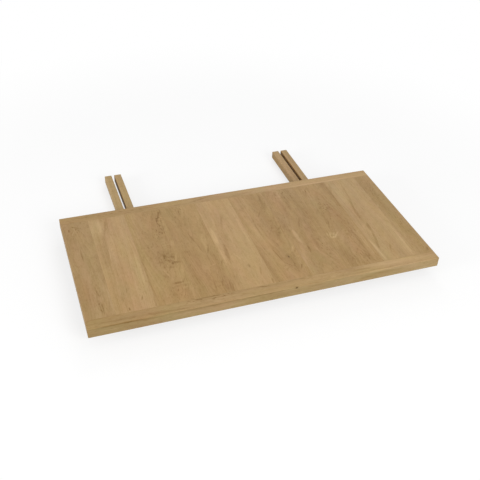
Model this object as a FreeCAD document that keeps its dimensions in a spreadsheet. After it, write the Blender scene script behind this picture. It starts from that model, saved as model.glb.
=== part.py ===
import FreeCAD, Part
import os
from types import SimpleNamespace

import Sketcher

# Solid oak extension leaf for a dining table. A field of glued staves sits between a front and a back
# rail, and two slotted twin-slat forks slide out of guides under the leaf to carry it on the table.
# Frame: X along the edge that meets the table, Y out of that edge towards the table, Z up.
# Origin: the centre of that edge's face. Millimetres. The forks are drawn pulled out to their stops.

os.makedirs("parts", exist_ok=True)
doc = FreeCAD.newDocument("ExtensionLeaf")

# Driving dimensions, each an alias in the sheet
sizes = {
    # the leaf's top
    "leaf_width": 1000.0,           # along the table's end
    "leaf_depth": 480.0,            # what the leaf adds to the table
    "leaf_thickness": 30.0,
    "rail_width": 32.0,             # front and back rail, seen from above
    "left_stave_width": 78.0,       # the two outer staves are ripped narrower
    "right_stave_width": 52.0,
    "tongue_length": 12.0,          # on both ends of each stave
    "tongue_thickness": 10.0,
    "groove_gap": 0.5,              # glue room past the tongue's tip
    "arris": 1.0,                   # eased outer edges of the top
    # the sliding forks
    "fork_spacing": 590.0,          # centre to centre
    "fork_reach": 238.0,            # beyond the leaf's edge when pulled out
    "slat_width": 22.0,
    "slat_height": 24.0,
    "slot_width": 9.0,              # between the two slats of a fork
    "slat_arris": 1.0,
    # the guides under the leaf
    "side_play": 0.3,               # fork to guide, each side
    "height_play": 0.3,             # fork to leaf, and fork to lip
    "web_width": 22.0,
    "lip_width": 10.0,              # ledge under each slat
    "lip_thickness": 8.0,
    "guide_setback": 15.0,          # behind the edge that meets the table
    "guide_inset": 50.0,            # behind the front edge
    "guide_arris": 1.5,
    "guide_screw_margin": 50.0,     # end screws from the guide's ends
    "end_stop_length": 12.0,
    "end_stop_shoulder": 8.0,       # what is left of the guide in front of the end stop
    "housing_depth": 6.0,           # the end stop's ends are let into both webs
    "stop_play": 0.3,               # at each end of the fork's travel
    # fasteners
    "screw_diameter": 4.0,
    "screw_head_diameter": 8.0,
    "screw_bite": 17.0,             # into the leaf
    "bolt_diameter": 8.0,
    "bolt_setback": 40.0,           # axis behind the edge that meets the table
    "bolt_bite": 12.0,              # into the insert
    "bolt_head_diameter": 14.0,
    "bolt_head_height": 4.4,
    "bolt_head_bevel": 1.2,
    "key_width": 5.0,               # hexagon socket, corner to centre is worked out from it
    "key_depth": 2.8,
    "washer_diameter": 24.0,
    "washer_thickness": 2.0,
    "washer_play": 0.2,             # round the bolt
    "insert_diameter": 12.0,
    "insert_length": 14.0,
    # one overrun for every cut that breaks through a face
    "overrun": 5.0,
}

# Counts
stave_count = 10
screws_per_guide = 3
hexagon_sides = 6

# A hexagon's corner radius over its width across the flats
corner_share = 1 / 3 ** 0.5

# How near two coordinates are when they count as the same place
same_place = 1e-5

sheet = doc.addObject("Spreadsheet::Sheet", "Sizes")
for row, (alias, number) in enumerate(sizes.items(), start=1):
    sheet.set("A%d" % row, alias)
    sheet.set("B%d" % row, str(number))
    sheet.setAlias("B%d" % row, alias)
doc.recompute()


class Term:
    # A length as a number, for a first guess, and as the formula that the document keeps
    def __init__(self, value, formula):
        self.value = value
        self.formula = formula

    def __add__(self, other):
        return Term(self.value + other.value, "(%s + %s)" % (self.formula, other.formula))

    def __sub__(self, other):
        return Term(self.value - other.value, "(%s - %s)" % (self.formula, other.formula))

    def __mul__(self, factor):
        return Term(self.value * factor, "(%s * %r)" % (self.formula, factor))

    def __truediv__(self, divisor):
        return Term(self.value / divisor, "(%s / %r)" % (self.formula, divisor))

    def __neg__(self):
        return Term(-self.value, "(0 - %s)" % self.formula)


s = SimpleNamespace(**{alias: Term(number, "Sizes." + alias) for alias, number in sizes.items()})
zero = Term(0.0, "0")

# Sizes and levels that follow from the driving ones
left_side = -s.leaf_width / 2
underside = -s.leaf_thickness / 2
front_edge = -s.leaf_depth
stave_width = (s.leaf_width - s.left_stave_width - s.right_stave_width) / (stave_count - 2)
field_depth = s.leaf_depth - s.rail_width * 2
tongue_low = (s.leaf_thickness - s.tongue_thickness) / 2
tongue_high = tongue_low + s.tongue_thickness
groove_depth = s.tongue_length + s.groove_gap

channel_height = s.slat_height + s.height_play * 2
guide_height = channel_height + s.lip_thickness
pair_width = s.slat_width * 2 + s.slot_width
channel_width = pair_width + s.side_play * 2
slat_level = underside - s.height_play - s.slat_height
lip_level = underside - channel_height
guide_level = underside - guide_height

guide_front = front_edge + s.guide_inset
guide_length = -guide_front - s.guide_setback
end_stop_front = guide_front + s.end_stop_shoulder
fork_length = -end_stop_front - s.end_stop_length - s.stop_play
fork_end = s.fork_reach - fork_length
spacer_length = -fork_end - s.bolt_setback - s.bolt_diameter / 2 - s.stop_play

screw_radius = s.screw_diameter / 2
screw_head_radius = s.screw_head_diameter / 2
screw_sink = screw_head_radius - screw_radius
screw_pitch = (guide_length - s.guide_screw_margin * 2) / (screws_per_guide - 1)
screw_rows = [s.guide_screw_margin + screw_pitch * step for step in range(screws_per_guide)]
bolt_radius = s.bolt_diameter / 2

nodes = {}


def keep(obj, label):
    # Names a finished sub-part and lists it for the export
    obj.Label = label
    nodes[label] = obj
    return obj


def place(obj, x, y, z):
    for axis, term in zip("xyz", (x, y, z)):
        obj.setExpression("Placement.Base." + axis, term.formula)


def origin_plane(body, role):
    return next(item for item in body.Origin.OriginFeatures if item.Role == role)


def pin_point(sketch, element, vertex, across, up):
    # Holds one sketch point at its two lengths from the sketch's origin
    for kind, term, axis in (("DistanceX", across, -2), ("DistanceY", up, -1)):
        if term is zero:
            sketch.addConstraint(Sketcher.Constraint("PointOnObject", element, vertex, axis))
        else:
            number = sketch.addConstraint(Sketcher.Constraint(kind, -1, 1, element, vertex, term.value))
            sketch.setExpression("Constraints[%d]" % number, term.formula)


def new_sketch(body, name, role):
    sketch = body.newObject("Sketcher::SketchObject", name)
    sketch.AttachmentSupport = (origin_plane(body, role), "")
    sketch.MapMode = "FlatFace"
    return sketch


def outline(body, name, role, points):
    # A closed outline of straight lines through points given as two lengths each
    sketch = new_sketch(body, name, role)
    corners = [FreeCAD.Vector(across.value, up.value, 0) for across, up in points]
    for number, corner in enumerate(corners):
        following = corners[(number + 1) % len(corners)]
        sketch.addGeometry(Part.LineSegment(corner, following), False)
    for number, (across, up) in enumerate(points):
        sketch.addConstraint(Sketcher.Constraint("Coincident", number, 2, (number + 1) % len(points), 1))
        pin_point(sketch, number, 1, across, up)
    return sketch


def circles(body, name, role, centres, radius):
    sketch = new_sketch(body, name, role)
    for number, (across, up) in enumerate(centres):
        middle = FreeCAD.Vector(across.value, up.value, 0)
        sketch.addGeometry(Part.Circle(middle, FreeCAD.Vector(0, 0, 1), radius.value), False)
        pin_point(sketch, number, 3, across, up)
        size = sketch.addConstraint(Sketcher.Constraint("Radius", number, radius.value))
        sketch.setExpression("Constraints[%d]" % size, radius.formula)
    return sketch


def pad(body, sketch, length, reversed_side=False):
    feature = body.newObject("PartDesign::Pad", "Pad")
    feature.Profile = sketch
    feature.Reversed = reversed_side
    feature.setExpression("Length", length.formula)
    doc.recompute()
    return feature


def cut_up(body, name, sketch, depth):
    # A pocket upwards from its sketch. It has to take material away.
    before = body.Shape.Volume
    feature = body.newObject("PartDesign::Pocket", name)
    feature.Profile = sketch
    feature.Reversed = True
    feature.setExpression("Length", depth.formula)
    doc.recompute()
    if body.Shape.Volume >= before:
        raise RuntimeError("%s in %s takes nothing away" % (name, body.Name))
    return feature


def drill(body, name, centres, radius, depth):
    return cut_up(body, name, circles(body, name + "Centres", "XY_Plane", centres, radius), depth)


def lies_at(edge, axis, term):
    # True where the whole edge lies at one coordinate
    low = getattr(edge.BoundBox, axis + "Min")
    high = getattr(edge.BoundBox, axis + "Max")
    return abs(low - term.value) < same_place and abs(high - term.value) < same_place


def edge_names(feature, wanted):
    return ["Edge%d" % number for number, edge in enumerate(feature.Shape.Edges, start=1) if wanted(edge)]


def ease(body, feature, wanted, size):
    # A chamfer on the edges of a feature that pass a test
    names = edge_names(feature, wanted)
    if not names:
        raise RuntimeError("no edge to ease on " + body.Name)
    eased = body.newObject("PartDesign::Chamfer", "Chamfer")
    eased.Base = (feature, names)
    eased.setExpression("Size", size.formula)
    doc.recompute()
    return eased


def turned(name, points):
    # A round piece, turned about its local Z axis
    body = doc.addObject("PartDesign::Body", name)
    feature = body.newObject("PartDesign::Revolution", "Turning")
    feature.Profile = outline(body, "HalfSection", "XZ_Plane", points)
    feature.ReferenceAxis = (feature.Profile[0], ["V_Axis"])
    feature.Angle = 360
    doc.recompute()
    return body


def rail(label, groove_at_front):
    # A full-width rail, grooved along its inner face for the staves' tongues
    width, thick = s.rail_width, s.leaf_thickness
    if groove_at_front:
        points = [(zero, zero), (width, zero), (width, thick), (zero, thick),
                  (zero, tongue_high), (groove_depth, tongue_high), (groove_depth, tongue_low), (zero, tongue_low)]
        inner, outer = zero, width
    else:
        floor = width - groove_depth
        points = [(zero, zero), (width, zero), (width, tongue_low), (floor, tongue_low),
                  (floor, tongue_high), (width, tongue_high), (width, thick), (zero, thick)]
        inner, outer = width, zero
    body = doc.addObject("PartDesign::Body", "Rail")
    blank = pad(body, outline(body, "Section", "YZ_Plane", points), s.leaf_width)
    ease(body, blank, lambda edge: lies_at(edge, "Y", outer) or not lies_at(edge, "Y", inner) and (
        lies_at(edge, "Z", zero) or lies_at(edge, "Z", thick)), s.arris)
    place(body, left_side, -width if groove_at_front else front_edge, underside)
    return keep(body, label)


def stave(label, start, width, outer_edge, holes):
    # One stave with a tongue on both ends. The outer edge, where it has one, is the leaf's side.
    # holes lists (name, centres, radius, depth) of blind holes in the underside, from the leaf's origin
    near = s.tongue_length
    far = near + field_depth
    tip = far + s.tongue_length
    thick = s.leaf_thickness
    points = [(near, zero), (far, zero), (far, tongue_low), (tip, tongue_low), (tip, tongue_high),
              (far, tongue_high), (far, thick), (near, thick), (near, tongue_high),
              (zero, tongue_high), (zero, tongue_low), (near, tongue_low)]
    body = doc.addObject("PartDesign::Body", "Stave")
    blank = pad(body, outline(body, "Section", "YZ_Plane", points), width)
    if outer_edge is not None:
        ease(body, blank, lambda edge: lies_at(edge, "X", outer_edge) and (
            lies_at(edge, "Z", zero) or lies_at(edge, "Z", thick)), s.arris)
    from_left = left_side + start
    from_front = front_edge + s.rail_width - s.tongue_length
    for name, centres, radius, depth in holes:
        local = [(x - from_left, y - from_front) for x, y in centres]
        drill(body, name, local, radius, depth)
    place(body, from_left, from_front, underside)
    return keep(body, label)


def guide(label, web_place, lip_on_right):
    # Rebated guide rail. Its web runs beside the fork and its lip under one slat, and it is screwed
    # up to the leaf through the web, where a housing holds the end stop. web_place is the web's low X.
    web, lip, low, high = s.web_width, s.lip_width, s.lip_thickness, guide_height
    full = web + lip
    if lip_on_right:
        points = [(zero, zero), (full, zero), (full, low), (web, low), (web, high), (zero, high)]
        screw_line = web / 2
        outer, start = zero, web_place
        housing = web - s.housing_depth
    else:
        points = [(zero, zero), (full, zero), (full, high), (lip, high), (lip, low), (zero, low)]
        screw_line = lip + web / 2
        outer, start = full, web_place - lip
        housing = lip
    body = doc.addObject("PartDesign::Body", "Guide")
    blank = pad(body, outline(body, "Section", "XZ_Plane", points), guide_length, reversed_side=True)
    ease(body, blank, lambda edge: lies_at(edge, "X", outer) and lies_at(edge, "Z", zero), s.guide_arris)
    centres = [(screw_line, row) for row in screw_rows]
    holes = drill(body, "ScrewHoles", centres, screw_radius, guide_height + s.overrun)
    ease(body, holes, lambda edge: lies_at(edge, "Z", zero) and
         edge.Curve.TypeId == "Part::GeomCircle", screw_sink)
    near, far = s.end_stop_shoulder, s.end_stop_shoulder + s.end_stop_length
    corners = [(housing, near), (housing + s.housing_depth, near),
               (housing + s.housing_depth, far), (housing, far)]
    floor = outline(body, "HousingOutline", "XY_Plane", corners)
    floor.setExpression("AttachmentOffset.Base.z", low.formula)
    cut_up(body, "Housing", floor, channel_height + s.overrun)
    place(body, start, guide_front, guide_level)
    return keep(body, label)


def bar(name, width, height, length):
    # A plain rectangular piece along Y
    body = doc.addObject("PartDesign::Body", name)
    points = [(zero, zero), (width, zero), (width, height), (zero, height)]
    pad(body, outline(body, "Section", "XZ_Plane", points), length, reversed_side=True)
    return body


def end_stop(label, centre):
    # Block between a pair of guides, let into both, that stops the fork on its way in
    width = channel_width + s.housing_depth * 2
    body = bar("EndStop", width, channel_height, s.end_stop_length)
    place(body, centre - width / 2, end_stop_front, lip_level)
    return keep(body, label)


def slat(label, low_side):
    # One slat of a fork, square cut at both ends, with every arris eased
    body = bar("Slat", s.slat_width, s.slat_height, fork_length)
    ease(body, body.Tip, lambda edge: True, s.slat_arris)
    place(body, low_side, fork_end, slat_level)
    return keep(body, label)


def spacer(label, centre):
    # Block glued between the inner ends of a fork's slats. Its outer end meets the stop bolt.
    body = bar("Spacer", s.slot_width, s.slat_height, spacer_length)
    place(body, centre - s.slot_width / 2, fork_end, slat_level)
    return keep(body, label)


def repeat(label, piece, places, level):
    # A group of separate pieces, all alike
    copies = []
    for x, y in places:
        copy = doc.addObject("App::Link", piece.Name + "Copy")
        copy.LinkedObject = piece
        place(copy, x, y, level)
        copies.append(copy)
    group = doc.addObject("Part::Compound", piece.Name + "Group")
    group.Links = copies
    return keep(group, label)


def wood_screw():
    # Countersunk screw that passes a guide and bites into the leaf
    length = guide_height + s.screw_bite
    return turned("Screw", [(zero, zero), (screw_head_radius, zero), (screw_radius, screw_sink),
                            (screw_radius, length), (zero, length)])


def threaded_insert():
    inner, outer = bolt_radius, s.insert_diameter / 2
    return turned("Insert", [(inner, zero), (outer, zero), (outer, s.insert_length), (inner, s.insert_length)])


def stop_washer():
    inner, outer = bolt_radius + s.washer_play, s.washer_diameter / 2
    return turned("Washer", [(inner, zero), (outer, zero),
                             (outer, s.washer_thickness), (inner, s.washer_thickness)])


def stop_bolt():
    # Low-headed bolt with a hexagon socket. Its shank runs up through the fork's slot into the insert.
    head, high = s.bolt_head_diameter / 2, s.bolt_head_height
    length = high + s.washer_thickness + channel_height + s.bolt_bite
    blank = turned("BoltBlank", [(zero, zero), (head, zero), (head, high),
                                 (bolt_radius, high), (bolt_radius, length), (zero, length)])
    ease(blank, blank.Tip, lambda edge: lies_at(edge, "Z", zero), s.bolt_head_bevel)
    key = doc.addObject("Part::Prism", "KeySocket")
    key.Polygon = hexagon_sides
    key.setExpression("Circumradius", (s.key_width * corner_share).formula)
    key.setExpression("Height", s.key_depth.formula)
    bolt = doc.addObject("Part::Cut", "Bolt")
    bolt.Base = blank
    bolt.Tool = key
    doc.recompute()
    return bolt


# Where the guides' screws and the stop bolts stand, from the leaf's origin
fork_centres = {"left": -s.fork_spacing / 2, "right": s.fork_spacing / 2}
web_offset = channel_width / 2 + s.web_width / 2
screw_places = [(centre + web_offset * way, guide_front + row)
                for centre in fork_centres.values() for way in (-1, 1) for row in screw_rows]
bolt_places = [(centre, -s.bolt_setback) for centre in fork_centres.values()]

# Top: two rails and the staves between them
rail("back_rail", groove_at_front=True)
rail("front_rail", groove_at_front=False)
start = zero
for number in range(1, stave_count + 1):
    width, outer_edge = stave_width, None
    if number == 1:
        width, outer_edge = s.left_stave_width, zero
    if number == stave_count:
        width, outer_edge = s.right_stave_width, s.right_stave_width
    low = (left_side + start).value
    high = low + width.value
    holes = []
    for name, spots, radius, depth in (
            ("ScrewPilots", screw_places, screw_radius, s.screw_bite),
            ("InsertHole", bolt_places, s.insert_diameter / 2, s.insert_length)):
        spots = [spot for spot in spots if low < spot[0].value < high]
        if spots:
            holes.append((name, spots, radius, depth))
    stave("stave_%02d" % number, start, width, outer_edge, holes)
    start = start + width

# Guides, end stops and forks, left and right alike
for side, centre in fork_centres.items():
    low_web = centre - channel_width / 2 - s.web_width
    high_web = centre + channel_width / 2
    low_name, high_name = ("outer", "inner") if side == "left" else ("inner", "outer")
    guide("%s_%s_guide" % (side, low_name), low_web, lip_on_right=True)
    guide("%s_%s_guide" % (side, high_name), high_web, lip_on_right=False)
    end_stop(side + "_end_stop", centre)
    slat("%s_%s_slat" % (side, low_name), centre - s.slot_width / 2 - s.slat_width)
    slat("%s_%s_slat" % (side, high_name), centre + s.slot_width / 2)
    spacer(side + "_spacer", centre)

# Fasteners, from the leaf's underside down
washer_level = lip_level - s.washer_thickness
repeat("guide_screws", wood_screw(), screw_places, guide_level)
repeat("threaded_inserts", threaded_insert(), bolt_places, underside)
repeat("stop_washers", stop_washer(), bolt_places, washer_level)
repeat("stop_bolts", stop_bolt(), bolt_places, washer_level - s.bolt_head_height)

# Nothing is written unless every object of the document is sound
doc.recompute()
for obj in doc.Objects:
    if "Invalid" in obj.State or "Error" in obj.State:
        raise RuntimeError("%s did not build: %s" % (obj.Name, obj.State))
for label, obj in nodes.items():
    if obj.Shape.isNull() or not obj.Shape.isValid():
        raise RuntimeError("%s has no sound shape" % label)

whole = FreeCAD.BoundBox()
for label, obj in nodes.items():
    obj.Shape.exportStep("parts/%s.step" % label)
    whole.add(obj.Shape.BoundBox)
print("%d sub-parts" % len(nodes))
print("X %.1f to %.1f, Y %.1f to %.1f, Z %.1f to %.1f" % (
    whole.XMin, whole.XMax, whole.YMin, whole.YMax, whole.ZMin, whole.ZMax))
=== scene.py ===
import math
import random

import bmesh
import bpy
from mathutils import Matrix, Vector


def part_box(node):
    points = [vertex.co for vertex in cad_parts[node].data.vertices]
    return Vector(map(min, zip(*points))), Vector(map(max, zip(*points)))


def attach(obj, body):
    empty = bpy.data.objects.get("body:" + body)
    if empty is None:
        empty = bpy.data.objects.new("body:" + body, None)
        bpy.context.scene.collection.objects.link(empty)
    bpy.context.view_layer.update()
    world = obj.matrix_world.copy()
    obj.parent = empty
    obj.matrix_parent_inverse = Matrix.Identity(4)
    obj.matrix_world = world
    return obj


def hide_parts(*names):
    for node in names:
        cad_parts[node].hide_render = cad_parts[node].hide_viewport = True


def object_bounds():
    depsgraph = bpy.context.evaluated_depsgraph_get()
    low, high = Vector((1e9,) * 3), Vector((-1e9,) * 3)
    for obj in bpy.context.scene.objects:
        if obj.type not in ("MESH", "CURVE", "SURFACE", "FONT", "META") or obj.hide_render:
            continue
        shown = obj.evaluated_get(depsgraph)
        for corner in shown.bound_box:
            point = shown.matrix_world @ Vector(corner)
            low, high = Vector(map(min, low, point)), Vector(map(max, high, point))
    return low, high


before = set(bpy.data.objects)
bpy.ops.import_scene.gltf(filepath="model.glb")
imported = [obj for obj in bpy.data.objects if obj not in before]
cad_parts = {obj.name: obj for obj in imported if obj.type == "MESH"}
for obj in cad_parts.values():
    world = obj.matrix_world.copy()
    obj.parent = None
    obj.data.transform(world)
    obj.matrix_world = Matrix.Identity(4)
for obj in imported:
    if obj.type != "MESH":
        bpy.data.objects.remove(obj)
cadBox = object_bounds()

# Solid oak extension leaf with two forks that slide out from under it.
# Every solid comes from the frame. This script gives it wood, steel and brass, and sets the picture up.
# Places in the boards' dictionaries are in millimetres, in the leaf's own frame:
# x runs along the leaf, y is 0 at the edge that meets the table and -480 at the free edge.
print("frame loaded:", len(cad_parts), "nodes")

millimetres = 1000.0     # in a metre
white = (1.0, 1.0, 1.0, 1.0)


class Wire:
    # One socket of a material. Sums on it add Math nodes, and add() puts any other node in.
    def __init__(self, socket):
        self.socket = socket

    def add(self, kind, settings=None, sockets=None, output=0):
        tree = self.socket.id_data
        node = tree.nodes.new(kind)
        for name, value in (settings or {}).items():
            if name == "stops":
                while len(node.color_ramp.elements) < len(value):
                    node.color_ramp.elements.new(1.0)
                for element, (position, colour) in zip(node.color_ramp.elements, value):
                    element.position = position
                    element.color = (*colour, 1.0)
            else:
                setattr(node, name, value)
        for name, value in (sockets or {}).items():
            if isinstance(value, Wire):
                tree.links.new(value.socket, node.inputs[name])
            else:
                node.inputs[name].default_value = value
        return Wire(node.outputs[output])

    def math(self, operation, *others):
        return self.add("ShaderNodeMath", {"operation": operation}, dict(enumerate((self, *others))))

    def __add__(self, other):
        return self.math("ADD", other)

    def __sub__(self, other):
        return self.math("SUBTRACT", other)

    def __rsub__(self, other):
        return self.add("ShaderNodeMath", {"operation": "SUBTRACT"}, {0: other, 1: self})

    def __mul__(self, other):
        return self.math("MULTIPLY", other)

    def __truediv__(self, other):
        return self.math("DIVIDE", other)

    def __pow__(self, other):
        return self.math("POWER", other)

    __radd__ = __add__
    __rmul__ = __mul__

    def between(self, low, high):
        # 0 below low, 1 above high and a smooth step from one to the other
        return self.add("ShaderNodeMapRange", {"interpolation_type": "SMOOTHSTEP"},
                        {"Value": self, "From Min": low, "From Max": high})

    def blend(self, first, second):
        # Two colours, mixed by this value
        return self.add("ShaderNodeMix", {"data_type": "RGBA"}, {0: self, 6: first, 7: second}, output=2)

    def vector(self, operation, *others, output=0):
        sockets = dict(enumerate((self, *others)))
        return self.add("ShaderNodeVectorMath", {"operation": operation}, sockets, output)

    def axes(self):
        split = self.add("ShaderNodeSeparateXYZ", sockets={0: self})
        return [Wire(socket) for socket in split.socket.node.outputs]


def linear(red, green, blue):
    # A colour as a screen shows it, 0 to 255, in the light that Blender works with
    shares = (value / 255 for value in (red, green, blue))
    return tuple(s / 12.92 if s <= 0.04045 else ((s + 0.055) / 1.055) ** 2.4 for s in shares)


def opaque(red, green, blue):
    return (*linear(red, green, blue), 1.0)


def newFinish(name, constants):
    # A material with its shader's plain sockets set, and a wire to start from
    material = bpy.data.materials.new(name)
    material.use_nodes = True
    shader = material.node_tree.nodes["Principled BSDF"]
    for socket, value in constants.items():
        shader.inputs[socket].default_value = value
    return material, shader, Wire(shader.outputs[0])


def connect(shader, **wires):
    names = {"colour": "Base Color", "roughness": "Roughness", "normal": "Normal"}
    for name, wire in wires.items():
        wire.socket.id_data.links.new(wire.socket, shader.inputs[names[name]])


# Oak. The rings are cylinders round a heart that lies beside or below the board, swayed by noise, so the
# same field gives the cathedrals on a face, the straight lines on a side and the arcs on an end.
# A board's own dictionary may change any value here.
oak = {
    "pale": linear(198, 166, 121),
    "middle": linear(170, 139, 91),
    "dark": linear(126, 92, 34),
    "pore": opaque(104, 72, 21),
    "pith": opaque(80, 52, 16),      # a knot's heart
    "yellower": opaque(253, 252, 238),
    "greyer": opaque(250, 246, 250),
    "greener": opaque(248, 253, 248),
    "rosier": opaque(255, 247, 249),
    "slotTint": (0.86, 0.78, 0.56, 1.0),     # painted shade on the slots' walls and along their top edges
    "seam": opaque(96, 72, 45),
    "tone": 0.0,             # darker by this all over
    "drift": 0.0,            # and by this for each metre along the board
    "warmth": 0.0,           # yellower by this
    "rose": 0.0,             # rosier by this
    "ringGap": 3.4,          # millimetres, as are the next nine
    "bandWidth": 11.0,
    "ringDrift": 22.0,       # across this much wood the years' widths change
    "sway": 26.0,
    "wobble": 5.0,
    "ripple": 2.0,
    "markWobble": 5.0,
    "through": 1e6,          # the depth of a mark that goes right through
    "slotEdge": (4.6, 5.4),  # from a slot's middle to its walls
    "seamEdge": (0.12, 0.3),
    "noiseShift": 90,        # each noise starts somewhere else
    "layerShift": (5, 400),
    "bandDetail": 1.5,
    "yearDetail": 1.0,
    "yearShift": 5.0,        # in rings
    "earlyPower": 2.5,       # how fast a ring darkens from its early wood
    "base": 0.46,            # darkness runs from 0, pale, to 1, dark
    "bandDepth": 0.32,       # how much each adds to the darkness
    "ringDepth": 0.09,
    "fibreDepth": 0.14,
    "fineDepth": 0.12,
    "broadDepth": 0.42,
    "mottleDepth": 0.19,
    "speckDepth": 0.10,
    "knotDepth": 0.6,
    "poreDepth": 0.42,       # how much of its colour each lays on
    "endDepth": 0.20,
    "seamDepth": 0.28,
    "hueSpread": 1.6,        # how far each moves the hue
    "roseSpread": 1.1,
    "blushDepth": 0.7,
    "poreEdge": (0.08, 0.2),     # the noise at which each begins and is whole
    "speckEdge": (0.06, 0.18),
    "figureEdge": (0.1, 0.8),
    "facingEdge": (0.72, 0.8),
    "lateWoodPores": 0.25,       # against 1 in the early wood
    "figureFibre": 1.5,
    "knotReach": 2.6,        # the rings bend round a knot as far out as this, in its own sizes
    "knotBend": 1.6,
    "pithSize": 0.8,
    "specular": 0.32,
    "roughness": 0.55,
    "poreRoughness": 0.15,
    "fibreRoughness": 0.12,
    "endRoughness": 0.12,
    "relief": 0.00016,       # metres
    "reliefStrength": 0.5,
    "fibreRelief": 0.5,
    "fineRelief": 0.35,
    "poreRelief": 0.9,
    "knots": (), "paws": (), "curls": (), "streaks": (),
    "figures": (), "shades": (), "blushes": (), "seams": (),
}

# How long and wide each noise is along the board, in millimetres, and its detail
grains = {
    "sway": (250, 60, 2.0),
    "wobble": (55, 16, 2.0),
    "ripple": (22, 7, 2.0),
    "fibre": (75, 1.6, 3.0),
    "fine": (16, 0.5, 2.0),
    "broad": (170, 34, 2.0),
    "mottle": (18, 9, 1.0),
    "pores": (8, 0.42, 1.0),
    "specks": (12, 3.6, 1.0),
    "curl": (7, 14, 1.0),
    "streak": (36, 4, 1.0),
    "hue": (120, 28, 2.0),
    "rose": (70, 24, 2.0),
}


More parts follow.
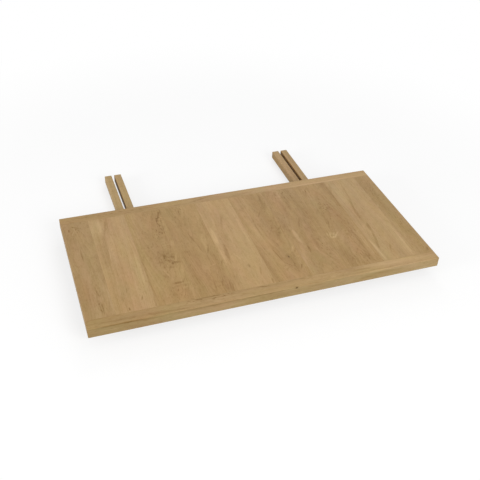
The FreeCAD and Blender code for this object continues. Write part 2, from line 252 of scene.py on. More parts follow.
def makeOak(name, lengthwise, board):
    look = {**oak, **board}
    chance = random.Random(look["seed"])
    material, shader, start = newFinish(name, {"Specular IOR Level": look["specular"]})
    spot = start.add("ShaderNodeTexCoord", output="Object").vector("MULTIPLY", (millimetres,) * 3)
    x, y, z = spot.axes()
    along, across, deep = (y, x, z) if lengthwise == "y" else (x, y, z)

    def inOrder(wide, long, high):
        # Sizes across, along and up the board, in the order x, y, z
        return (wide, long, high) if lengthwise == "y" else (long, wide, high)

    def grain(kind):
        # Noise drawn out along the board, from -0.5 to 0.5
        length, width, detail = grains[kind]
        shift = [chance.uniform(-look["noiseShift"], look["noiseShift"]) for axis in "xyz"]
        point = spot.vector("MULTIPLY_ADD", inOrder(1 / width, 1 / length, 1 / width), shift)
        return point.add("ShaderNodeTexNoise", sockets={
            "Vector": point, "Scale": 1.0, "Detail": detail}) - 0.5

    def layered(value, width, detail):
        # Noise along one value, the distance from the heart
        return value.add("ShaderNodeTexNoise", {"noise_dimensions": "1D"}, {
            "W": value / width + chance.uniform(*look["layerShift"]), "Scale": 1.0, "Detail": detail}) - 0.5

    def oval(mark, spread=1.0):
        # 1 at the middle of a mark, fading to 0 round it
        markX, markY, length, half, lean = mark[:5]
        length, half, turn = length * spread, half * spread, math.atan(lean)
        height, rise = (mark[6], half) if len(mark) > 6 else (0.0, look["through"])
        near = bent.add("ShaderNodeMapping", {"vector_type": "TEXTURE"}, {
            "Vector": bent, "Location": (markX, markY, height),
            "Rotation": (0.0, 0.0, -turn if lengthwise == "y" else turn),
            "Scale": inOrder(half, length, rise)})
        square = near.vector("DOT_PRODUCT", near, output=1)
        return (square * -1.0).math("EXPONENT")

    def moved(distance):
        # The spot, moved across the board
        step = distance.add("ShaderNodeCombineXYZ", sockets={0 if lengthwise == "y" else 1: distance})
        return spot.vector("ADD", step)

    # The rings, and how noise and knots bend them
    sway = grain("sway")
    wobble = grain("wobble")
    bent = moved(wobble * look["markWobble"])
    bend = sway * look["sway"] + wobble * look["wobble"]
    spot = moved(bend)       # from here on the grain runs with the rings
    heartSide, heartDeep = look["heart"]
    side = across - heartSide + bend + grain("ripple") * look["ripple"]
    under = deep - heartDeep + wobble * look["wobble"]
    radius = (side * side + under * under).math("SQRT") + along * look["taper"]
    for knot in look["knots"]:
        radius = radius + oval(knot, look["knotReach"]) * (knot[3] * look["knotBend"])

    bands = layered(radius, look["bandWidth"], look["bandDetail"])
    year = radius / look["ringGap"]
    year = year + layered(radius, look["ringDrift"], look["yearDetail"]) * look["yearShift"]
    early = (1.0 - year.math("FRACT")) ** look["earlyPower"]
    fibre = grain("fibre")
    fine = grain("fine")
    broad = grain("broad")
    mottle = grain("mottle")
    inLateWood = look["lateWoodPores"]
    pores = grain("pores").between(*look["poreEdge"]) * (early * (1.0 - inLateWood) + inLateWood)
    specks = grain("specks").between(*look["speckEdge"])
    curl = grain("curl")
    streak = grain("streak")

    # Darkness: the wood's own, then the marks
    darkness = (bands * look["bandDepth"] + early * look["ringDepth"] + fibre * look["fibreDepth"]
                + fine * look["fineDepth"] + broad * look["broadDepth"] + mottle * look["mottleDepth"]
                + specks * look["speckDepth"]
                + along * (look["drift"] / millimetres) + (look["base"] + look["tone"]))
    for shade in look["shades"]:
        darkness = darkness + oval(shade) * shade[5]
    for figure in look["figures"]:
        edged = oval(figure).between(*look["figureEdge"])
        darkness = darkness + edged * (fibre * look["figureFibre"] + 1.0) * figure[5]
    for kind, noise in (("paws", specks), ("curls", curl), ("streaks", streak)):
        for mark in look[kind]:
            darkness = darkness + oval(mark) * noise * mark[5]
    for knot in look["knots"]:
        darkness = darkness + oval(knot) * (fine + 1.0) * (knot[5] * look["knotDepth"])

    # Colour
    colour = darkness.add("ShaderNodeValToRGB", {"stops": (
        (0.0, look["pale"]), (0.5, look["middle"]), (1.0, look["dark"]))}, {0: darkness})
    hue = grain("hue") * look["hueSpread"] + (0.5 - look["warmth"])
    colour = colour.vector("MULTIPLY", hue.blend(look["yellower"], look["greyer"]))
    rose = grain("rose") * look["roseSpread"] + (0.5 + look["rose"])
    for blush in look["blushes"]:
        rose = rose + oval(blush) * (blush[5] * look["blushDepth"])
    colour = colour.vector("MULTIPLY", rose.blend(look["greener"], look["rosier"]))
    colour = (pores * look["poreDepth"]).blend(colour, look["pore"])
    for knot in look["knots"]:
        colour = (oval(knot, look["pithSize"]) * knot[5]).blend(colour, look["pith"])

    # End grain, painted light on the flanks, painted shade in the slots, and joints
    facingX, facingY = start.add("ShaderNodeTexCoord", output="Normal").axes()[:2]
    end, flank = [axis.math("ABSOLUTE").between(*look["facingEdge"])
                  for axis in ((facingY, facingX) if lengthwise == "y" else (facingX, facingY))]
    # painted light: the faces along the board's sides are made lighter by this tint
    if "flank" in look:
        colour = colour.vector("MULTIPLY", flank.blend(white, look["flank"]))
    # painted shade: the slots' walls, and a thin strip of the top along each slot's mouth, come out darker
    if "slot" in look:
        wall = 1.0 - (x - look["slot"]).math("ABSOLUTE").between(*look["slotEdge"])
        colour = colour.vector("MULTIPLY", wall.blend(white, look["slotTint"]))
    colour = (end * look["endDepth"]).blend(colour, look["pore"])
    for axis, place in look["seams"]:
        gap = (x if axis == "x" else y) - place
        line = 1.0 - gap.math("ABSOLUTE").between(*look["seamEdge"])
        colour = (line * look["seamDepth"]).blend(colour, look["seam"])

    relief = fibre * look["fibreRelief"] + fine * look["fineRelief"] - pores * look["poreRelief"]
    normal = relief.add("ShaderNodeBump", sockets={
        "Strength": look["reliefStrength"], "Distance": look["relief"], "Height": relief})
    roughness = (pores * look["poreRoughness"] + fibre * look["fibreRoughness"]
                 + end * look["endRoughness"] + look["roughness"])
    connect(shader, colour=colour, normal=normal, roughness=roughness)
    return material


def dress(node, material):
    # A node of the frame has one material slot, and keeps it
    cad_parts[node].material_slots[0].material = material


# The ten staves, their grain running from the table's edge to the free edge. Each has its own tone,
# warmth and heart, and the marks that the board shows: pin knots, paws of dark specks, curls that ripple
# across the grain, streaks along it, figures with an edge, soft shades and rosier or greener blushes.
# A mark is (x, y, half length, half width, lean, darker by). In a blush the sixth number is rosier by.
# A seventh number is the mark's height, for one that shows on the edge alone.
staves = {
    "stave_01": {
        "tone": 0.01, "warmth": -0.35, "rose": -0.25, "heart": (-430, -62), "taper": -0.035,
        "paws": [(-458, -56, 22, 14, 0.0, 0.22), (-452, -400, 44, 12, 0.0, 0.12)],
        "streaks": [(-446, -385, 66, 24, 0.0, 0.65), (-465, -185, 40, 10, 0.0, 0.5)],
        "figures": [(-462, -56, 14, 2.0, -1.9, 0.28), (-482, -68, 7, 2.2, 0.0, 0.34),
                    (-470, -80, 14, 2.4, 0.5, -0.14), (-451, -354, 12, 2.4, -0.1, 0.20),
                    (-454, -420, 22, 2.2, 0.0, 0.16), (-424, -390, 50, 4, 0.0, -0.12),
                    (-436, -320, 44, 7, 0.0, -0.08), (-464, -185, 24, 2.2, 0.0, 0.26)],
        "shades": [(-478, -70, 50, 16, 0.0, 0.04), (-440, -225, 70, 18, 0.0, -0.07),
                   (-430, -400, 60, 10, 0.0, -0.10), (-460, -388, 20, 12, 0.0, 0.08)],
        "blushes": [(-484, -160, 110, 16, 0.0, 0.4), (-446, -215, 70, 16, 0.0, -0.4),
                    (-478, -330, 60, 20, 0.0, 0.5)]},
    "stave_02": {
        "tone": -0.15, "warmth": 0.0, "rose": 0.0, "heart": (-300, -40), "taper": 0.02,
        "figures": [(-402, -76, 38, 19, 0.14, -0.18), (-394, -175, 74, 6, 0.02, 0.24),
                    (-380, -82, 46, 3, 0.24, 0.14), (-389, -205, 34, 2.2, 0.10, -0.14),
                    (-397, -285, 60, 2.6, 0.0, 0.12), (-368, -360, 70, 7, 0.0, -0.12),
                    (-324, -290, 90, 5, 0.0, -0.16), (-368, -110, 60, 5, 0.05, -0.12),
                    (-345, -405, 9, 1.8, 0.3, 0.46), (-378, -365, 10, 1.8, 0.3, 0.24),
                    (-385, -436, 6, 2.2, 0.0, 0.46), (-316, -426, 26, 3.4, 0.0, 0.16),
                    (-395, -394, 14, 3.4, 0.0, 0.14), (-342, -315, 60, 3.4, 0.04, 0.14)],
        "shades": [(-374, -66, 36, 7, 0.20, 0.05), (-348, -160, 80, 14, 0.0, -0.11),
                   (-416, -225, 110, 18, 0.0, 0.05), (-405, -240, 16, 9, 0.0, 0.08),
                   (-400, -400, 60, 14, 0.0, 0.05), (-375, -215, 36, 12, 0.0, -0.05)],
        "blushes": [(-404, -76, 44, 17, 0.16, -0.7), (-362, -80, 60, 14, 0.0, 0.4),
                    (-340, -170, 50, 14, 0.0, -0.4), (-372, -205, 50, 14, 0.0, 0.4),
                    (-362, -312, 34, 20, 0.0, 0.6), (-330, -330, 70, 10, 0.0, -0.5),
                    (-365, -430, 30, 34, 0.0, 0.5)]},
    "stave_03": {
        "tone": 0.03, "warmth": 0.30, "rose": 0.1, "heart": (-262, -55), "taper": -0.045,
        "paws": [(-224, -92, 50, 12, 0.30, 0.24), (-236, -143, 26, 15, 0.0, 0.30),
                 (-268, -202, 12, 18, 0.0, 0.22), (-244, -290, 30, 22, 0.0, 0.24),
                 (-246, -412, 26, 20, 0.0, 0.24)],
        "curls": [(-238, -270, 34, 22, 0.0, 0.8), (-232, -384, 24, 24, 0.0, 0.5),
                  (-228, -205, 22, 18, 0.0, 0.7), (-216, -100, 50, 12, 0.2, 0.5)],
        "figures": [(-219, -70, 34, 3.6, 0.34, 0.22), (-206, -46, 12, 3, 0.3, 0.10),
                    (-233, -200, 22, 12, 0.0, -0.08), (-214, -207, 20, 5, 0.10, -0.14),
                    (-248, -250, 11, 5, -0.7, 0.12), (-227, -262, 9, 5, -0.8, 0.10),
                    (-217, -112, 38, 4, 0.1, 0.12), (-262, -277, 6, 8, 0.0, 0.16),
                    (-222, -289, 5, 13, 0.0, 0.21), (-255, -298, 9, 4, 0.3, 0.20),
                    (-236, -304, 6, 9, 0.0, 0.15), (-218, -272, 20, 3, 0.3, -0.16),
                    (-258, -328, 20, 2.4, -0.3, -0.18), (-213, -322, 26, 4, 0.15, -0.16),
                    (-238, -373, 5, 14, 0.0, 0.23), (-222, -366, 12, 3, 0.6, 0.12),
                    (-310, -300, 120, 3, 0.0, 0.14), (-294, -422, 26, 6, 0.0, 0.10),
                    (-212, -420, 24, 6, 0.0, -0.12), (-256, -262, 16, 5, 0.4, -0.12)],
        "shades": [(-226, -80, 70, 22, 0.10, 0.12), (-288, -60, 40, 12, 0.0, -0.08),
                   (-300, -215, 90, 14, 0.0, -0.06), (-274, -292, 50, 12, 0.0, -0.09),
                   (-236, -150, 60, 20, 0.0, 0.10), (-236, -258, 40, 26, 0.0, 0.14),
                   (-240, -400, 44, 20, 0.0, 0.12)],
        "blushes": [(-300, -200, 130, 14, 0.0, -0.4), (-248, -80, 44, 16, 0.0, 0.6),
                    (-285, -330, 50, 20, 0.0, -0.4), (-240, -413, 30, 24, 0.0, 0.7)]},
    "stave_04": {
        "tone": 0.03, "warmth": 0.40, "rose": 0.15, "heart": (-150, -44), "taper": -0.04,
        "paws": [(-186, -285, 30, 9, 0.0, 0.08), (-148, -56, 18, 13, 0.0, 0.32),
                 (-177, -90, 12, 8, 0.0, 0.26), (-172, -205, 14, 9, 0.0, 0.20)],
        "curls": [(-132, -420, 24, 26, 0.0, 0.4)],
        "streaks": [(-188, -250, 40, 12, 0.2, 0.3)],
        "figures": [(-120, -222, 38, 9, 0.0, -0.18), (-150, -200, 28, 2.6, -0.22, 0.18),
                    (-141, -248, 22, 2.4, -0.13, 0.20), (-165, -190, 22, 2.4, -0.2, 0.10),
                    (-102, -150, 34, 2.4, 0.08, 0.08), (-109, -205, 30, 2.4, 0.15, 0.08),
                    (-120, -258, 26, 2.6, 0.32, 0.22), (-101, -325, 14, 2.6, 0.30, 0.22),
                    (-126, -328, 9, 2.4, 3.0, -0.18), (-126, -250, 60, 5, 0.0, -0.08),
                    (-106, -428, 26, 4.5, 0.05, 0.20), (-194, -428, 24, 4, 0.0, 0.13),
                    (-124, -404, 18, 2.4, 0.3, 0.10), (-148, -412, 24, 2.4, 0.10, 0.16)],
        "shades": [(-186, -90, 80, 28, 0.0, 0.10), (-106, -70, 60, 16, 0.0, -0.10),
                   (-137, -352, 40, 14, 0.0, -0.09), (-114, -165, 36, 12, 0.0, -0.05),
                   (-190, -340, 110, 14, 0.0, 0.10), (-160, -272, 44, 18, 0.0, 0.12),
                   (-180, -50, 22, 16, 0.0, 0.10), (-106, -225, 70, 8, 0.0, -0.10)],
        "blushes": [(-180, -56, 40, 22, 0.0, -0.6), (-158, -335, 60, 34, 0.0, 0.6),
                    (-128, -405, 44, 26, 0.0, 0.25)]},
    "stave_05": {
        "tone": -0.16, "warmth": 0.30, "rose": 0.15, "heart": (-190, -30), "taper": 0.01,
        "knots": [(-33, -361, 7, 3, 0.0, 0.26)],
        "figures": [(-86, -208, 42, 7.5, 0.04, -0.30), (-89, -300, 34, 2.8, 0.0, -0.22),
                    (-43, -140, 28, 4, 0.24, 0.22), (4, -190, 80, 4, 0.0, -0.18),
                    (-75, -292, 46, 5.5, 0.05, 0.30), (-70, -152, 34, 5, 0.12, -0.12),
                    (-54, -222, 20, 7, 0.2, 0.09), (-52, -310, 22, 2.2, -0.35, -0.14),
                    (-10, -390, 18, 2.4, 0.25, 0.24), (8, -436, 10, 3, 0.2, 0.28)],
        "shades": [(-62, -262, 50, 12, 0.0, 0.11), (-88, -392, 66, 14, 0.04, 0.20),
                   (-18, -250, 70, 14, 0.0, -0.07), (-80, -90, 50, 9, 0.0, 0.10),
                   (-54, -130, 30, 10, 0.2, 0.07), (-20, -150, 44, 12, 0.0, -0.05)],
        "blushes": [(-40, -66, 44, 34, 0.0, 0.3), (-16, -250, 70, 20, 0.0, -0.4),
                    (-80, -290, 40, 12, 0.0, 0.3)]},
    "stave_06": {
        "tone": 0.01, "warmth": 0.35, "rose": 0.2, "heart": (84, -52), "taper": -0.05,
        "knots": [(87, -354, 5, 2.8, 0.0, 0.60)],
        "paws": [(106, -210, 20, 14, 0.0, 0.16), (78, -392, 16, 18, 0.0, 0.14)],
        "curls": [(102, -235, 34, 20, 0.0, 0.35), (78, -392, 14, 20, 0.0, 0.5)],
        "figures": [(110, -82, 44, 11, 0.05, 0.20), (73, -182, 28, 5, 0.0, 0.12),
                    (59, -334, 40, 2.4, -0.18, 0.20), (78, -140, 20, 2.6, 0.5, 0.14),
                    (86, -294, 22, 7, 0.0, -0.12), (72, -383, 11, 2.4, -0.9, 0.12),
                    (119, -328, 18, 2.6, 0.6, 0.20), (112, -322, 18, 3.2, 0.6, -0.18),
                    (107, -403, 12, 2.4, 0.5, 0.24), (48, -195, 46, 3, 0.0, 0.18),
                    (40, -212, 54, 7, 0.0, -0.05), (60, -222, 34, 9, 0.0, 0.06)],
        "shades": [(94, -86, 50, 18, 0.0, 0.14), (94, -205, 60, 28, 0.0, 0.14),
                   (80, -345, 40, 14, 0.0, 0.07), (84, -405, 30, 14, 0.0, 0.06)],
        "blushes": [(30, -56, 40, 18, 0.0, 0.4), (110, -78, 40, 14, 0.0, -0.6),
                    (62, -286, 20, 34, 0.0, 0.6), (106, -300, 36, 14, 0.3, -0.6),
                    (56, -432, 20, 30, 0.0, 0.4)]},
    "stave_07": {
        "tone": 0.04, "warmth": 0.0, "rose": 0.05, "heart": (170, -66), "taper": 0.04,
        "paws": [(206, -345, 34, 10, 0.0, 0.26), (188, -60, 26, 18, 0.0, 0.16)],
        "streaks": [(186, -235, 50, 14, 0.25, 0.6)],
        "figures": [(145, -268, 44, 6, -0.08, -0.26), (135, -228, 34, 11, 0.0, 0.10),
                    (135, -350, 56, 8, 0.30, -0.12), (158, -338, 15, 4.5, 0.1, 0.22),
                    (183, -96, 42, 8, 0.0, 0.20), (162, -52, 14, 4, 0.0, 0.16),
                    (133, -60, 30, 6, 0.0, -0.08), (170, -70, 30, 2.4, 0.1, -0.12),
                    (190, -376, 52, 4.4, -0.36, -0.16), (178, -268, 46, 7, 0.0, -0.10),
                    (180, -330, 16, 4, 0.0, -0.14), (151, -338, 34, 6, 0.1, -0.14),
                    (178, -212, 26, 2.6, 0.36, 0.16)],
        "shades": [(140, -130, 60, 12, 0.0, -0.06), (180, -180, 90, 26, 0.0, 0.12),
                   (206, -232, 80, 12, 0.0, 0.13), (177, -302, 30, 9, 0.0, -0.08),
                   (127, -320, 60, 8, 0.0, -0.06), (134, -405, 50, 16, 0.0, -0.08),
                   (205, -90, 60, 16, 0.0, 0.03), (202, -430, 26, 8, 0.0, -0.08)],
        "blushes": [(146, -100, 70, 20, 0.0, 0.6), (206, -70, 50, 18, 0.0, -0.3),
                    (182, -310, 70, 16, 0.0, 0.4), (165, -375, 30, 16, 0.0, -0.7),
                    (136, -428, 22, 20, 0.0, -0.6)]},
    "stave_08": {
        "tone": 0.04, "warmth": 0.05, "rose": 0.0, "heart": (290, -58), "taper": 0.04,
        "paws": [(288, -166, 26, 18, 0.0, 0.20), (306, -300, 24, 12, 0.0, 0.24),
                 (288, -412, 30, 24, 0.0, 0.18)],
        "curls": [(304, -290, 20, 16, 0.0, 0.7), (285, -165, 34, 22, 0.0, 0.5),
                  (256, -300, 22, 16, 0.0, 0.8)],
        "streaks": [(290, -410, 36, 24, 0.2, 0.5), (262, -62, 22, 14, 0.3, 0.8)],
        "figures": [(236, -290, 10, 2.6, 0.1, -0.26), (243, -296, 13, 2.8, 0.35, -0.31),
                    (252, -299, 14, 2.8, 0.6, -0.30), (263, -296, 14, 3.0, 0.9, -0.30),
                    (248, -307, 4, 14, 0.0, -0.20), (272, -318, 24, 7, 0.5, -0.10),
                    (264, -60, 16, 2.6, 0.4, 0.18), (258, -128, 40, 14, 0.1, -0.08),
                    (262, -240, 16, 2.6, 0.3, 0.20), (309, -416, 28, 8, 0.0, 0.17),
                    (269, -418, 24, 4, 0.0, 0.14), (314, -338, 60, 4, 0.0, 0.18),
                    (240, -335, 34, 7, 0.2, -0.10), (270, -362, 38, 5, 0.0, 0.12),
                    (328, -350, 76, 5, 0.05, -0.14), (337, -105, 34, 3, 0.0, 0.06)],
        "shades": [(296, -215, 80, 38, 0.0, 0.06), (298, -275, 40, 14, 0.0, 0.08),
                   (247, -400, 50, 12, 0.0, 0.10), (245, -100, 50, 8, 0.0, -0.11)],
        "blushes": [(272, -84, 24, 30, 0.0, 0.4), (264, -128, 36, 14, 0.0, -0.6),
                    (306, -220, 50, 22, 0.0, 0.5), (252, -298, 20, 18, 0.0, -0.7),
                    (292, -350, 50, 18, 0.0, 0.5)]},
    "stave_09": {
        "tone": -0.15, "warmth": -0.15, "rose": -0.2, "heart": (450, -38), "taper": -0.02,
        "figures": [(362, -112, 60, 14, 0.10, -0.15), (386, -100, 50, 3, 0.10, 0.17),
                    (375, -168, 30, 4, 0.15, 0.24), (369, -216, 40, 5.5, 0.05, 0.22),
                    (372, -290, 20, 5, 0.10, 0.32), (364, -348, 50, 4.2, 0.22, 0.30),
                    (346, -392, 48, 3.6, -0.05, -0.34), (356, -290, 24, 3.6, 0.15, -0.16),
                    (438, -370, 76, 3.8, 0.03, -0.20), (345, -75, 30, 5, 0.3, 0.12),
                    (388, -396, 20, 2.6, 0.4, 0.18)],
        "shades": [(405, -190, 80, 14, 0.0, -0.10), (358, -290, 70, 8, 0.0, 0.08),
                   (434, -145, 50, 14, 0.0, -0.05), (412, -310, 80, 28, 0.0, -0.07),
                   (345, -240, 40, 8, 0.0, 0.12), (378, -230, 60, 12, 0.0, 0.04)],
        "blushes": [(364, -205, 44, 10, 0.0, 0.6), (356, -90, 50, 14, 0.0, -0.3),
                    (390, -330, 36, 18, 0.0, 0.3), (352, -430, 26, 12, 0.0, -0.6)]},
    "stave_10": {
        "tone": 0.01, "warmth": -0.15, "rose": -0.25, "heart": (520, -80), "taper": 0.03,
        "paws": [(480, -300, 80, 12, 0.0, 0.18), (470, -100, 40, 14, 0.0, 0.14)],
        "figures": [(450, -200, 12, 2.6, 0.4, -0.18), (486, -434, 10, 4, 0.5, 0.20)],
        "shades": [(466, -90, 60, 12, 0.0, 0.05), (456, -330, 90, 8, 0.0, -0.04)],
        "blushes": [(478, -190, 80, 16, 0.0, -0.3), (482, -60, 30, 12, 0.0, 0.5)]},
}
innerEdges = {"back_rail": -32.0, "front_rail": -448.0}
leafEnd = 0.499          # metres, just short of the leaf's two ends, which aren't joints
seeds = {"staves": 40, "rails": 60, "bars": 80}

for order, (name, board) in enumerate(sorted(staves.items()), start=1):
    low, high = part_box(name)
    seams = [("y", place) for place in innerEdges.values()]
    seams += [("x", edge.x * millimetres) for edge in (low, high) if abs(edge.x) < leafEnd]
    dress(name, makeOak("oak_" + name, "y", {**board, "seed": seeds["staves"] + order, "seams": seams}))
print("staves:", len(staves))

# The two rails, their grain running along the leaf
rails = {
    "back_rail": {
        "tone": -0.07, "drift": -0.26, "warmth": 0.0, "heart": (-70, -22), "taper": 0.012,
        "paws": [(-330, -14, 70, 9, 0.0, 0.12)],
        "figures": [(340, -27, 130, 3.6, 0.0, -0.24), (-72, -15, 36, 3, 0.22, 0.20),
                    (-170, -26, 60, 3, 0.0, 0.12), (-420, -12, 50, 4, 0.05, 0.10),
                    (60, -24, 40, 4, 0.15, 0.10)],
        "shades": [(380, -20, 90, 12, 0.0, -0.06), (-250, -20, 60, 12, 0.0, 0.05)],
        "blushes": [(-226, -14, 20, 14, 0.0, 0.6), (-8, -16, 16, 14, 0.0, 0.6),
                    (128, -14, 12, 14, 0.0, -0.6), (-410, -16, 30, 14, 0.0, -0.4),
                    (180, -16, 40, 14, 0.0, 0.3)]},
    "front_rail": {
        "tone": -0.04, "drift": -0.20, "warmth": -0.10, "rose": -0.20, "heart": (-400, -26), "taper": -0.010,
        "knots": [(60, -480, 3.2, 2.2, 0.0, 1.4, 12)],
        "paws": [(-150, -456, 120, 7, 0.0, 0.34)],
        "figures": [(-155, -458, 70, 2.4, -0.02, 0.14), (-420, -464, 90, 12, 0.0, 0.08),
                    (-182, -450, 36, 2.6, 0.0, 0.24), (-112, -455, 9, 3.4, 0.0, 0.18),
                    (-22, -453, 18, 2.4, -0.15, 0.20), (86, -452, 14, 2.4, -0.1, 0.16),
                    (-160, -471, 12, 2.8, -0.2, -0.18), (172, -470, 9, 3.4, 0.0, -0.20),
                    (385, -458, 112, 8, -0.02, -0.24), (150, -452, 50, 4, 0.0, -0.08),
                    (-410, -480, 60, 2.6, 0.0, 0.26, 13), (-290, -473, 60, 3.0, -0.03, 0.18),
                    (-215, -480, 70, 3.0, 0.0, 0.20, 10), (-60, -480, 90, 3.0, 0.0, 0.22, 11),
                    (110, -478, 60, 2.4, 0.0, 0.18, 14), (262, -463, 30, 4.0, 0.0, 0.20),
                    (305, -479, 44, 3.4, 0.0, -0.22, 13), (-440, -480, 34, 2.4, 0.0, -0.14, 0),
                    (-250, -480, 44, 2.4, 0.0, -0.12, 3), (-120, -480, 60, 3.0, 0.0, -0.10, -2),
                    (330, -480, 60, 5.0, 0.0, 0.12, 4), (440, -480, 50, 3.0, 0.0, -0.10, 2),
                    (-350, -480, 26, 3.4, 0.0, 0.16, 9), (120, -480, 26, 3.4, 0.0, 0.16, 8),
                    (272, -480, 24, 3.6, 0.0, 0.18, -2)],
        "shades": [(234, -456, 22, 10, 0.0, 0.14), (400, -468, 110, 12, 0.0, -0.05)],
        "blushes": [(-350, -474, 40, 14, 0.0, 0.5), (-140, -478, 40, 12, 0.0, 0.4),
                    (-470, -464, 20, 20, 0.0, -0.4), (-290, -468, 24, 14, 0.0, -0.5)]},
}
for rail in rails.values():
    rail["flank"] = (1.03, 1.10, 1.20, 1.0)     # painted sheen: the rails' edges come out lighter and greyer
for order, (name, board) in enumerate(sorted(rails.items()), start=1):
    seams = [("y", innerEdges[name])]
    dress(name, makeOak("oak_" + name, "x", {**board, "seed": seeds["rails"] + order, "seams": seams}))
print("rails:", len(rails))

# The forks: straight-grained bars, glued to a spacer at their inner ends
forks = {
    "left_outer_slat": {"tone": -0.10, "rose": -0.4, "heart": (-270, -10), "taper": 0.006},
    # the left inner slat's slot gets a deeper painted shade
    "left_inner_slat": {"tone": -0.15, "warmth": 0.10, "rose": -0.4, "heart": (-330, 30), "taper": -0.008,
                        "slotTint": (0.62, 0.54, 0.36, 1.0)},
    "right_inner_slat": {"tone": -0.08, "warmth": 0.05, "heart": (330, 20), "taper": 0.006},
    "right_outer_slat": {"tone": -0.02, "warmth": 0.20, "heart": (260, -60), "taper": -0.006},
    "left_spacer": {"tone": 0.02, "heart": (-250, -40), "taper": 0.0},
    "right_spacer": {"tone": 0.0, "heart": (250, -40), "taper": 0.0},
}
# The guides and the end stops under the leaf, left a little rougher
guides = {
    "left_outer_guide": {"tone": 0.02, "warmth": 0.1, "heart": (-380, -70), "taper": 0.01},
    "left_inner_guide": {"tone": -0.04, "warmth": -0.1, "heart": (-210, -60), "taper": -0.01},
    "right_inner_guide": {"tone": 0.0, "warmth": 0.05, "heart": (205, -75), "taper": 0.01},
    "right_outer_guide": {"tone": 0.05, "warmth": -0.1, "heart": (390, -65), "taper": -0.012},
    "left_end_stop": {"tone": 0.04, "heart": (-390, -50), "taper": 0.0},
    "right_end_stop": {"tone": 0.02, "heart": (-440, -60), "taper": 0.0},
}
slotMiddle = 295.0       # from the leaf's middle
for name, bar in forks.items():
    if name.endswith("slat"):
        bar["slot"] = -slotMiddle if name.startswith("left") else slotMiddle
        # painted light: the slats' sides, slot walls included, come out a little lighter
        bar["flank"] = (1.06, 1.06, 1.06, 1.0)
straightBars = {"sway": 8.0, "bandWidth": 7.0}
rougher = {"roughness": 0.62, "relief": 0.00022}
for order, (name, board) in enumerate(sorted({**forks, **guides}.items()), start=1):
    lengthwise = "x" if name.endswith("end_stop") else "y"
    coarse = rougher if name in guides else {}
    look = {**straightBars, **coarse, **board, "seed": seeds["bars"] + order}
    dress(name, makeOak("oak_" + name, lengthwise, look))
print("forks and guides:", len(forks) + len(guides))

# Zinc-plated steel and brass, with a faint brushed unevenness
metals = {
    "zinc_steel": {
        "tones": (opaque(176, 180, 184), opaque(206, 208, 210)), "roughness": 0.34, "grain": 900.0},
    "brass": {
        "tones": (opaque(186, 150, 84), opaque(214, 182, 112)), "roughness": 0.30, "grain": 700.0},
}
brushing = {"grainDetail": 3.0, "patch": 120.0, "patchDetail": 2.0, "relief": 0.00002,
            "reliefStrength": 0.3, "grainRoughness": 0.16, "patchRoughness": 0.12, "smoother": 0.14}


def makeMetal(name, metal):
    look = {**brushing, **metal}
    material, shader, start = newFinish(name, {"Metallic": 1.0})
    spot = start.add("ShaderNodeTexCoord", output="Object")
    cloud = spot.add("ShaderNodeTexNoise", sockets={
        "Vector": spot, "Scale": look["grain"], "Detail": look["grainDetail"]})
    patch = spot.add("ShaderNodeTexNoise", sockets={
        "Vector": spot, "Scale": look["patch"], "Detail": look["patchDetail"]})
    normal = cloud.add("ShaderNodeBump", sockets={
        "Strength": look["reliefStrength"], "Distance": look["relief"], "Height": cloud})
    roughness = (cloud * look["grainRoughness"] + patch * look["patchRoughness"]
                 + (look["roughness"] - look["smoother"]))
    connect(shader, colour=patch.blend(*look["tones"]), normal=normal, roughness=roughness)
    return material


finishes = {name: makeMetal(name, metal) for name, metal in metals.items()}
for name in ("stop_washers", "stop_bolts", "guide_screws"):
    dress(name, finishes["zinc_steel"])
dress("threaded_inserts", finishes["brass"])
print("metals:", len(metals))

# The guides' wood screws, with a cross recess in the head, a plain neck and a thread that ends in a point.
# They stand where the frame's screws are.
screw = {"rows": (-380.0, -222.5, -65.0), "columns": (-332.8, -257.2, 257.2, 332.8),
         "head": 4.0, "shank": 2.0, "sink": 2.0, "neck": 20.0, "length": 49.6, "sides": 12,
         "root": 1.45, "pitch": 1.8, "point": 5.0, "loopsPerTurn": 4, "crestSlope": 4,
         "armLength": 2.3, "armHalf": 0.55, "recess": 2.0, "recessTaper": 0.55, "seed": 7}


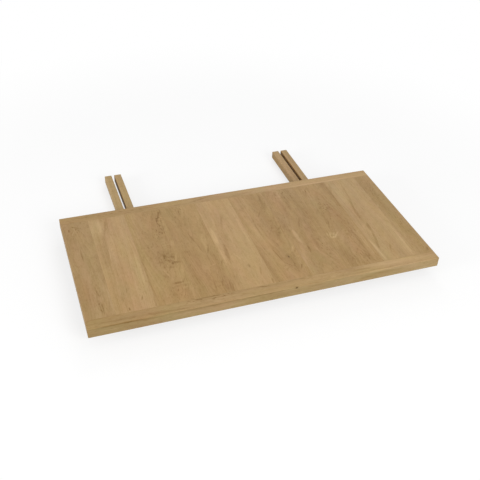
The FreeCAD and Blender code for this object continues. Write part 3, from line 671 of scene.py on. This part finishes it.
def makeScrews():
    low, high = (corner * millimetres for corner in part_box("guide_screws"))
    shape = bmesh.new()
    sides = screw["sides"]
    arm, half = screw["armLength"], screw["armHalf"]
    cross = [(arm, -half), (arm, half), (half, half), (half, arm), (-half, arm), (-half, half),
             (-arm, half), (-arm, -half), (-half, -half), (-half, -arm), (half, -arm), (half, -half)]

    def ring(points):
        return [shape.verts.new(point) for point in points]

    def wall(lower, upper):
        count = len(lower)
        for side in range(count):
            after = (side + 1) % count
            shape.faces.new((lower[side], lower[after], upper[after], upper[side]))

    def circle(radius, height):
        # A loop round the screw, its radius a number or a function of the turn
        points = []
        for side in range(sides):
            turn = 2 * math.pi * side / sides
            reach = radius(turn) if callable(radius) else radius
            points.append((reach * math.cos(turn), reach * math.sin(turn), height))
        return ring(points)

    rim = circle(screw["head"], 0.0)
    mouth = ring([(x, y, 0.0) for x, y in cross])
    edges = [shape.edges.new((loop[side], loop[(side + 1) % len(loop)]))
             for loop in (rim, mouth) for side in range(len(loop))]
    bmesh.ops.triangle_fill(shape, use_beauty=True, edges=edges)
    taper = screw["recessTaper"]
    bottom = ring([(x * taper, y * taper, screw["recess"]) for x, y in cross])
    wall(bottom, mouth)
    shape.faces.new(bottom)
    collar = circle(screw["shank"], screw["sink"])
    wall(rim, collar)
    last = circle(screw["shank"], screw["neck"])
    wall(collar, last)
    step = screw["pitch"] / screw["loopsPerTurn"]
    loops = int((screw["length"] - screw["point"] - screw["neck"]) / step)
    for loop in range(1, loops + 1):
        height = screw["neck"] + loop * step

        def crest(turn, height=height):
            phase = (height / screw["pitch"] - turn / (2 * math.pi)) % 1.0
            rise = max(0.0, 1.0 - abs(phase - 0.5) * screw["crestSlope"])
            return screw["root"] + (screw["shank"] - screw["root"]) * rise

        following = circle(crest, height)
        wall(last, following)
        last = following
    tip = shape.verts.new((0.0, 0.0, screw["length"]))
    for side in range(sides):
        shape.faces.new((last[side], last[(side + 1) % sides], tip))
    bmesh.ops.recalc_face_normals(shape, faces=shape.faces[:])
    one = bpy.data.meshes.new("oneScrew")
    shape.to_mesh(one)
    shape.free()

    chance = random.Random(screw["seed"])
    group = bmesh.new()
    for x in screw["columns"]:
        for y in screw["rows"]:
            copy = one.copy()
            turn = Matrix.Rotation(chance.uniform(0, math.pi), 4, "Z")
            copy.transform(Matrix.Scale(1 / millimetres, 4) @ Matrix.Translation((x, y, low.z)) @ turn)
            group.from_mesh(copy)
    mesh = bpy.data.meshes.new("cross_head_screws")
    group.to_mesh(mesh)
    group.free()
    made = bpy.data.objects.new("cross_head_screws", mesh)
    bpy.context.scene.collection.objects.link(made)
    mesh.materials.append(finishes["zinc_steel"])
    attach(made, "leaf")
    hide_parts("guide_screws")


makeScrews()
print("screws:", len(screw["rows"]) * len(screw["columns"]))

# A pale floor under the guides. It goes over into plain white away from the leaf, and keeps its shadow.
floor = {"half": 14.0, "shade": 0.34, "roughness": 0.9, "shadowMiddle": -0.12, "shadowShare": 0.28,
         "shadowEdge": (0.75, 1.5)}


def seenRay(start):
    # 1 for what the camera sees, at once or in metal or glass
    path = start.add("ShaderNodeLightPath", output="Is Camera Ray")
    seen = path + Wire(path.socket.node.outputs["Is Glossy Ray"])
    seen = seen + Wire(path.socket.node.outputs["Is Transmission Ray"])
    return seen.math("MINIMUM", 1.0)


def makeFloor():
    mesh = bpy.data.meshes.new("floor")
    half, level = floor["half"], cadBox[0].z
    corners = [(-half, -half, level), (half, -half, level), (half, half, level), (-half, half, level)]
    mesh.from_pydata(corners, [], [(0, 1, 2, 3)])
    made = bpy.data.objects.new("floor", mesh)
    bpy.context.scene.collection.objects.link(made)
    material, shader, start = newFinish("floor", {
        "Roughness": floor["roughness"], "Specular IOR Level": 0.0})
    x, y = start.add("ShaderNodeTexCoord", output="Object").axes()[:2]
    back = y - floor["shadowMiddle"]
    reach = (x * x + back * back).math("SQRT")
    seen = seenRay(start)
    connect(shader, colour=seen.blend((floor["shade"],) * 3 + (1.0,), white))
    shadow = (1.0 - reach.between(*floor["shadowEdge"])) * floor["shadowShare"]
    glow = start.add("ShaderNodeEmission", sockets={"Color": white, "Strength": 1.0})
    mixed = start.add("ShaderNodeMixShader", sockets={0: seen * (1.0 - shadow), 1: start, 2: glow})
    surface = material.node_tree.nodes["Material Output"].inputs["Surface"]
    material.node_tree.links.new(mixed.socket, surface)
    mesh.materials.append(material)


makeFloor()
print("floor ready")

# Even, soft light from all round, with a wide lamp in front and a weaker one behind
sky = {"strength": 0.52}
lamps = {
    "frontLamp": {"power": 71.0, "size": 1.8, "place": (0.9, -3.3, 1.9), "aim": (0.0, -0.2, 0.0)},
    "leftLamp": {"power": 44.0, "size": 1.2, "place": (-3.1, -0.9, 0.9), "aim": (0.0, -0.1, 0.0)},
    "backLamp": {"power": 30.0, "size": 1.8, "place": (1.2, 3.3, 2.4), "aim": (0.0, -0.1, 0.0)},
}


def aimed(made, place, aim, rollDegrees=0.0):
    made.location = place
    turn = (Vector(aim) - Vector(place)).to_track_quat("-Z", "Y").to_matrix().to_4x4()
    made.rotation_euler = (turn @ Matrix.Rotation(math.radians(rollDegrees), 4, "Z")).to_euler()
    bpy.context.scene.collection.objects.link(made)
    return made


def makeSky():
    world = bpy.data.worlds.new("studio")
    world.use_nodes = True
    background = world.node_tree.nodes["Background"]
    strength = seenRay(Wire(background.outputs[0])) * (1.0 - sky["strength"]) + sky["strength"]
    background.inputs["Color"].default_value = white
    world.node_tree.links.new(strength.socket, background.inputs["Strength"])
    bpy.context.scene.world = world


makeSky()
for name, lamp in lamps.items():
    bulb = bpy.data.lights.new(name, "AREA")
    bulb.energy, bulb.size = lamp["power"], lamp["size"]
    aimed(bpy.data.objects.new(name, bulb), lamp["place"], lamp["aim"])
print("light ready")

# The photograph's view: from the front and left, above the leaf
viewpoint = {"place": (-0.6158, -1.8059, 1.3121), "aim": (-0.0196, -0.2438, 0.015), "rollDegrees": 2.9,
             "lens": 55.01, "sensor": 36.0, "nearest": 0.01, "furthest": 100.0}

camera = bpy.data.cameras.new("camera")
camera.sensor_width, camera.lens = viewpoint["sensor"], viewpoint["lens"]
camera.clip_start, camera.clip_end = viewpoint["nearest"], viewpoint["furthest"]
bpy.context.scene.camera = aimed(bpy.data.objects.new("camera", camera), viewpoint["place"],
                                 viewpoint["aim"], viewpoint["rollDegrees"])
bpy.context.scene.view_settings.view_transform = "Standard"
print("camera ready")
